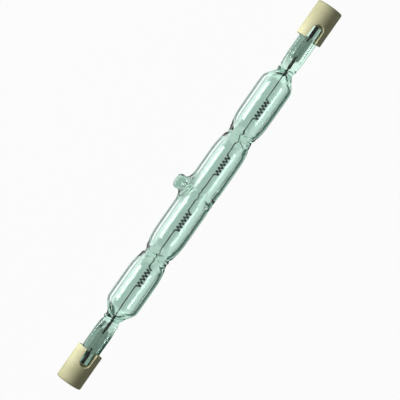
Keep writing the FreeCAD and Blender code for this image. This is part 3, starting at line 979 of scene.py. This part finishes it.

# %% [markdown]
# ## The stage
# The floor is a pale sheet just under the bulb. The camera sees it as white paper with a faint shadow.
# Clear glass has little colour of its own: its bands and dark edges are what it bends into view, which in
# a studio is the shade and light on the floor and a set of cards and papers round the object. Modelled
# cards would stand in the picture, so the floor has a second set of colours that only rays through glass
# or off metal meet: a painted shadow of the bulb, painted lines and patches of light and dark painted
# shade. They stand in for the real shade and the cards.

# %% Floor
FLOOR_HALF = 0.6
floor_mesh = bpy.data.meshes.new("floor")
floor_z = cad_box[0][2]
corners = np.array([[-1, -1], [1, -1], [1, 1], [-1, 1]]) * FLOOR_HALF
floor_mesh.from_pydata([(x, y, floor_z) for x, y in corners], [], [(0, 1, 2, 3)])
floor = bpy.data.objects.new("floor", floor_mesh)
bpy.context.scene.collection.objects.link(floor)
print("floor at", round(floor_z / MM, 2), "mm")

# %% Paper
paper, tree, shader = finish_tree("pale_floor")
fibre = object_noise(tree, EVEN, 600.0)
set_inputs(tree, shader, {
    "Base Color": colour_ramp(tree, fibre, [(0.3, 0.9, 0.9, 0.9), (0.7, 0.94, 0.94, 0.94)]),
    "Roughness": 0.9,
})
place = add_node(tree, "ShaderNodeTexCoord")
spot = add_node(tree, "ShaderNodeSeparateXYZ", {"Vector": place.outputs["Object"]}).outputs
floor_x, floor_y = spot["X"], spot["Y"]
coat_piece([floor], paper)


# %% Helpers for colours by place
def combine(tree, operation, *values):
    """One arithmetic node on these values."""
    return add_node(tree, "ShaderNodeMath", dict(enumerate(values)), operation=operation).outputs[0]


def smooth_range(tree, value, low, high):
    """Nought at low and one at high, in millimetres, with a smooth S between them, up or down."""
    inputs = {"Value": value, "From Min": low * MM, "From Max": high * MM}
    return add_node(tree, "ShaderNodeMapRange", inputs, interpolation_type="SMOOTHSTEP").outputs["Result"]


def near(tree, value, middle, full, none):
    """One within the distance full of the middle, and smoothly down to nought at the distance none."""
    off = combine(tree, "ABSOLUTE", combine(tree, "SUBTRACT", value, middle * MM))
    return smooth_range(tree, off, none, full)


def between(tree, value, low, full_low, full_high, high):
    """One from full_low to full_high, and smoothly down to nought at low and at high."""
    rising = smooth_range(tree, value, low, full_low)
    return combine(tree, "MULTIPLY", rising, smooth_range(tree, value, high, full_high))


def blend(tree, share, first, second):
    """The second colour laid over the first by this share."""
    return add_node(tree, "ShaderNodeMix", {0: share, 6: first, 7: second}, data_type="RGBA").outputs[2]


print("the floor's finish has", len(tree.nodes), "nodes without its shade")

# %% [markdown]
# ### Shade along the tube
# Under the tube the floor has a painted shadow of the bulb, green as if lit through the glass, with a
# painted line of brighter light along the side away from the light and a dark green painted shadow beyond
# it. On the light's side, close to the tube, lie a painted band of light and a dark strip of painted
# shadow.
# The tube is a strong lens, so this narrow pattern draws all of it: the pale bands, the green ones, and the
# dark line along each edge.

# %% Shade along the tube
WHITE = (1.0, 1.0, 1.0, 1.0)
SHADE_REACH = 12.0
# Stops across the floor of painted shadow and painted light, in millimetres from the lamp's axis.
SHADE = [
    (-10.4, 0.0, 0.07, 0.035),
    (-8.4, 0.48, 0.58, 0.54),
    (-7.0, 0.62, 0.71, 0.67),
    (-5.6, 0.74, 0.83, 0.79),
    (-4.4, 0.74, 0.83, 0.79),
    (-3.0, 0.48, 0.58, 0.54),
    (0.4, 0.48, 0.58, 0.54),
    (1.2, 0.70, 0.80, 0.76),
    (2.5, 0.84, 0.92, 0.89),
    (3.2, 0.16, 0.19, 0.18),
    (4.2, 0.16, 0.19, 0.18),
    (5.2, 0.95, 0.95, 0.95),
]
# Where the dark painted shadow of the bulb fades back to white, far from the tube.
PAINTED_SHADOW_END = (-30.0, -45.0)
share = combine(tree, "MULTIPLY_ADD", floor_y, 0.5 / SHADE_REACH / MM, 0.5)
stops = [((y / SHADE_REACH + 1) / 2, *colour) for y, *colour in SHADE]
shade = blend(tree, smooth_range(tree, floor_y, *PAINTED_SHADOW_END), colour_ramp(tree, share, stops), WHITE)
print("a shade of", len(SHADE), "stops over", 2 * SHADE_REACH, "mm")

# %% [markdown]
# ### Patches of shade
# The tip, the seals, the left shoulder and the pinches bend other parts of the floor into view than the
# tube does. So each has its patch of painted shade and light, laid over the shade one after the other:
# painted shade under the tip, painted light under the seals but dimmer towards the caps, dark painted shade
# beside the left shoulder and in a line along the left foil, and painted light under the pinches.

# %% Patches under the tip and the seals
# Painted shade on the floor under the tip.
UNDER_TIP = (0.38, 0.50, 0.44, 1.0)
TIP_ALONG, TIP_FROM = (3.0, 5.0), (1.5, 2.2)
by_tip = combine(
    tree, "MULTIPLY", near(tree, floor_x, 0.0, *TIP_ALONG), smooth_range(tree, floor_y, *TIP_FROM)
)
shade = blend(tree, by_tip, shade, UNDER_TIP)

# Painted light on the floor under the seals, kept off the dark painted shadow on the far side.
UNDER_SEAL = (0.95, 1.07, 1.0, 1.0)
PAINTED_SHADOW_EDGE = (-9.0, -6.0)
SEAL_FROM = (NECK - 0.9, NECK + 1.1)
away = combine(tree, "ABSOLUTE", floor_x)
# One away from the dark painted shadow beyond the tube, nought within it.
off_painted_shadow = smooth_range(tree, floor_y, *PAINTED_SHADOW_EDGE)
by_seal = combine(tree, "MULTIPLY", smooth_range(tree, away, *SEAL_FROM), off_painted_shadow)
shade = blend(tree, by_seal, shade, UNDER_SEAL)

# Painted shade on the floor beside the seals past the necks.
BESIDE_SEAL = (0.28, 0.38, 0.33, 1.0)
DIM_SIDE = (-2.8, -1.2)
DIM_FROM = (NECK + 0.5, NECK + 7.0)
on_left = combine(tree, "MULTIPLY", off_painted_shadow, combine(tree, "LESS_THAN", floor_x, 0.0))
dim_side = combine(tree, "MAXIMUM", smooth_range(tree, floor_y, *DIM_SIDE), on_left)
past_neck = smooth_range(tree, away, *DIM_FROM)
shade = blend(tree, combine(tree, "MULTIPLY", past_neck, dim_side), shade, BESIDE_SEAL)
print("seal patches from", [round(x, 2) for x in SEAL_FROM])

# %% Patches by the left shoulder, the left foil and the pinches
# Dark painted shade on the floor beside the left shoulder.
BY_SHOULDER = (0.01, 0.05, 0.03, 1.0)
SHOULDER_ALONG = (-44.5, -41.5, -39.0, -37.5)
SHOULDER_SIDE = (-1.2, -0.2, 6.0, 8.0)
along_shoulder = between(tree, floor_x, *SHOULDER_ALONG)
by_shoulder = combine(tree, "MULTIPLY", along_shoulder, between(tree, floor_y, *SHOULDER_SIDE))
shade = blend(tree, by_shoulder, shade, BY_SHOULDER)

# A line of the same dark painted shade on the floor along the left foil.
FOIL_ALONG = (-52.0, -50.5, -44.0, -42.5)
FOIL_LINE, FOIL_LINE_HALF = -2.6, (0.5, 0.9)
on_line = near(tree, floor_y, FOIL_LINE, *FOIL_LINE_HALF)
on_line = combine(tree, "MULTIPLY", on_line, between(tree, floor_x, *FOIL_ALONG))
shade = blend(tree, on_line, shade, BY_SHOULDER)

# Painted light on the floor under the pinches.
UNDER_PINCH = (0.70, 0.78, 0.73, 1.0)
PINCH_ALONG, PINCH_FROM = (0.8, 2.2), (-4.2, -2.8)
lit_side = smooth_range(tree, floor_y, *PINCH_FROM)
for middle in PINCHES:
    by_pinch = combine(tree, "MULTIPLY", near(tree, floor_x, middle, *PINCH_ALONG), lit_side)
    shade = blend(tree, by_pinch, shade, UNDER_PINCH)
print("the floor's finish has", len(tree.nodes), "nodes with it")

# %% [markdown]
# ### White where it is seen
# Light Path tells the rays apart. Straight from the camera the floor is mixed with plain white, through
# glass or in metal with the painted shade and light, and for all other light it stays paper, so that it
# still takes the bulb's shadow.

# %% White to the camera
WHITE_SEEN = 0.96


def ray_kinds(tree):
    """Two switches: one for rays from the camera, one for rays that come off metal or through glass."""
    path = add_node(tree, "ShaderNodeLightPath").outputs
    in_glass = combine(tree, "MAXIMUM", path["Is Glossy Ray"], path["Is Transmission Ray"])
    return path["Is Camera Ray"], in_glass


by_camera, in_glass = ray_kinds(tree)
# Through glass and in metal the floor glows with the painted shade and light, to the camera with white.
glow = add_node(tree, "ShaderNodeEmission", {"Color": blend(tree, by_camera, shade, WHITE)})
seen = combine(tree, "MULTIPLY", combine(tree, "MAXIMUM", in_glass, by_camera), WHITE_SEEN)
mix = add_node(tree, "ShaderNodeMixShader", {"Fac": seen, 1: shader.outputs["BSDF"], 2: glow.outputs[0]})
tree.links.new(mix.outputs[0], tree.nodes["Material Output"].inputs["Surface"])
print("seen directly, the floor is", WHITE_SEEN, "white")

# %% [markdown]
# ## Light and camera
# The photograph's light stands on the tip's side of the bulb, low and long, so that it draws a bright
# band along the tube and leaves the other side of the caps in shade. White paper in front of the light
# throws some of it back up under the caps. A low lamp that faces up from the floor stands for that, with
# less noise than bounced light, and is hidden from the camera and from rays through glass. The rest of
# the room is dim, but white where it is seen.


# %% Lights
def stand_at(thing, across, upright, back, place):
    """Stands a lamp or camera: its three directions and its place are the columns of its matrix."""
    matrix = np.eye(4)
    matrix[:3] = np.stack([across, upright, back, place], axis=1)
    thing.matrix_world = Matrix(matrix.tolist())
    bpy.context.scene.collection.objects.link(thing)


def soft_box(name, place, size, power):
    """A rectangular lamp at this place in metres, facing the bulb, with its long side along the lamp."""
    lamp = bpy.data.lights.new(name, "AREA")
    lamp.shape = "RECTANGLE"
    lamp.size, lamp.size_y = size
    lamp.energy = power
    box = bpy.data.objects.new(name, lamp)
    back = np.asarray(place) / np.linalg.norm(place)
    stand_at(box, lamp_axis, np.cross(back, lamp_axis), back, place)
    box.visible_camera = False
    print(name, "at", [round(float(v), 3) for v in place])
    return box


KEY_DISTANCE, KEY_LENGTH, KEY_HEIGHT = 0.30, 0.14, 0.09
KEY_POWER, CARD_POWER = 0.50, 0.33
CARD_LENGTH = 0.1
CARD_NEAR_EDGE = 0.008
CARD_ABOVE_FLOOR = 0.0002
card_size = (CARD_LENGTH, KEY_DISTANCE - CARD_NEAR_EDGE)
soft_box("key", (0.0, KEY_DISTANCE, floor_z + KEY_HEIGHT / 2), (KEY_LENGTH, KEY_HEIGHT), KEY_POWER)
card = soft_box("card", (0.0, 0.0, floor_z + CARD_ABOVE_FLOOR), card_size, CARD_POWER)
card.location.y = (KEY_DISTANCE + CARD_NEAR_EDGE) / 2
card.visible_transmission = False

# %% Room
ROOM_LIGHT = 0.125
ROOM_IN_GLASS = 0.5
world = bpy.data.worlds.new("studio")
world.use_nodes = True
tree = world.node_tree
by_camera, in_glass = ray_kinds(tree)
seen = combine(tree, "MAXIMUM", by_camera, combine(tree, "MULTIPLY", in_glass, ROOM_IN_GLASS))
strength = combine(tree, "MAXIMUM", seen, ROOM_LIGHT)
set_inputs(tree, tree.nodes["Background"], {"Color": WHITE, "Strength": strength})
bpy.context.scene.world = world
print("room light", ROOM_LIGHT, "and seen in glass", ROOM_IN_GLASS)

# %% [markdown]
# ### Camera
# The camera is far off with a long lens, square to the lamp and to the tip, and rolled until the lamp
# climbs to the upper right. Its distance follows from the scale of the picture, so that no size is set by
# eye.

# %% Camera
PICTURE_PIXELS = 400
PIXELS_A_MM = 3.889
LAMP_CLIMB = math.radians(55.0)
LAMP_MIDDLE = (-0.6, 5.1)
right = math.cos(LAMP_CLIMB) * lamp_axis - math.sin(LAMP_CLIMB) * tip_way
upward = math.sin(LAMP_CLIMB) * lamp_axis + math.cos(LAMP_CLIMB) * tip_way
lens = bpy.data.cameras.new("camera")
lens.lens = 200.0
lens.sensor_width = 36.0
lens.clip_start = 0.01
distance = PICTURE_PIXELS / PIXELS_A_MM * MM * lens.lens / lens.sensor_width
aim = -(right * LAMP_MIDDLE[0] + upward * LAMP_MIDDLE[1]) / PIXELS_A_MM * MM
stand = aim + camera_way * distance
camera = bpy.data.objects.new("camera", lens)
stand_at(camera, right, upward, camera_way, stand)
bpy.context.scene.camera = camera
bpy.context.scene.view_settings.view_transform = "Standard"
print("camera at", [round(float(v), 3) for v in stand])
